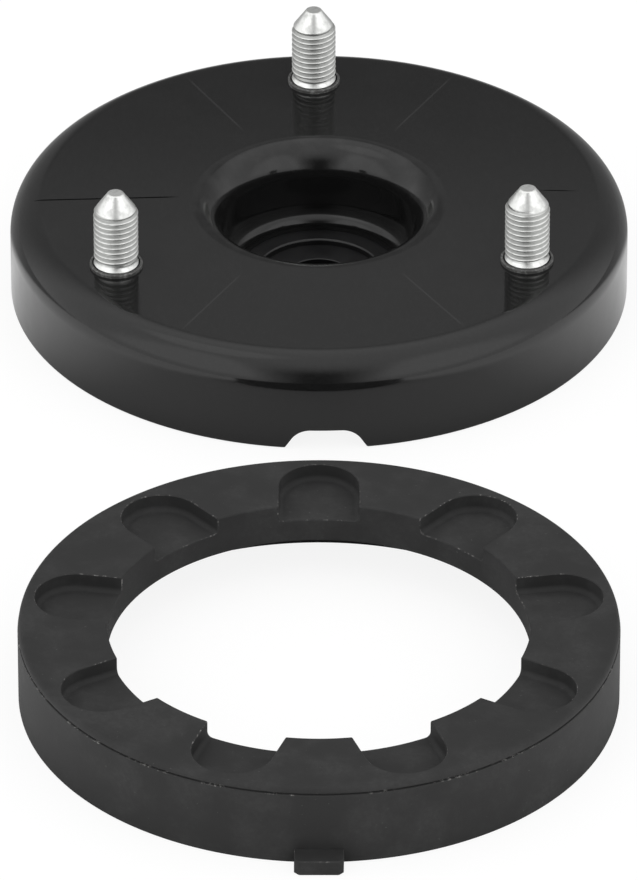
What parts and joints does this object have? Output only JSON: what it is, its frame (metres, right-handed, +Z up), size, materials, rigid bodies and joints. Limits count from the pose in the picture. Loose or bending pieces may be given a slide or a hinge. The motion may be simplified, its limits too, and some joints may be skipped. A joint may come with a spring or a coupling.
{
  "type": "strut mount",
  "caption": "Moulded upper strut mount with threaded studs and a stepped centre bore, and the rubber spring isolator ring that keys into its skirt, laid out one behind the other.",
  "frame": {"origin": "centre of the whole set's footprint, on the surface it lies on", "axes": "+Z up along the studs, +Y from the isolator ring towards the mount, +X to the right seen from the isolator"},
  "size_m": [0.164, 0.36, 0.0482],
  "materials": {
    "moulded_nylon": "black glass-filled nylon, moulded, glossy",
    "zinc_plated_steel": "rolled thread, bright zinc plate",
    "coated_steel": "pressed sheet, black coat",
    "moulded_rubber": "moulded rubber, matt with a dry bloom"
  },
  "bodies": {
    "root": {"housing": "moulded_nylon", "stud_back": "zinc_plated_steel", "stud_left": "zinc_plated_steel", "stud_right": "zinc_plated_steel", "rod_seat": "coated_steel", "spring_isolator": "moulded_rubber"}
  },
  "joints": []
}
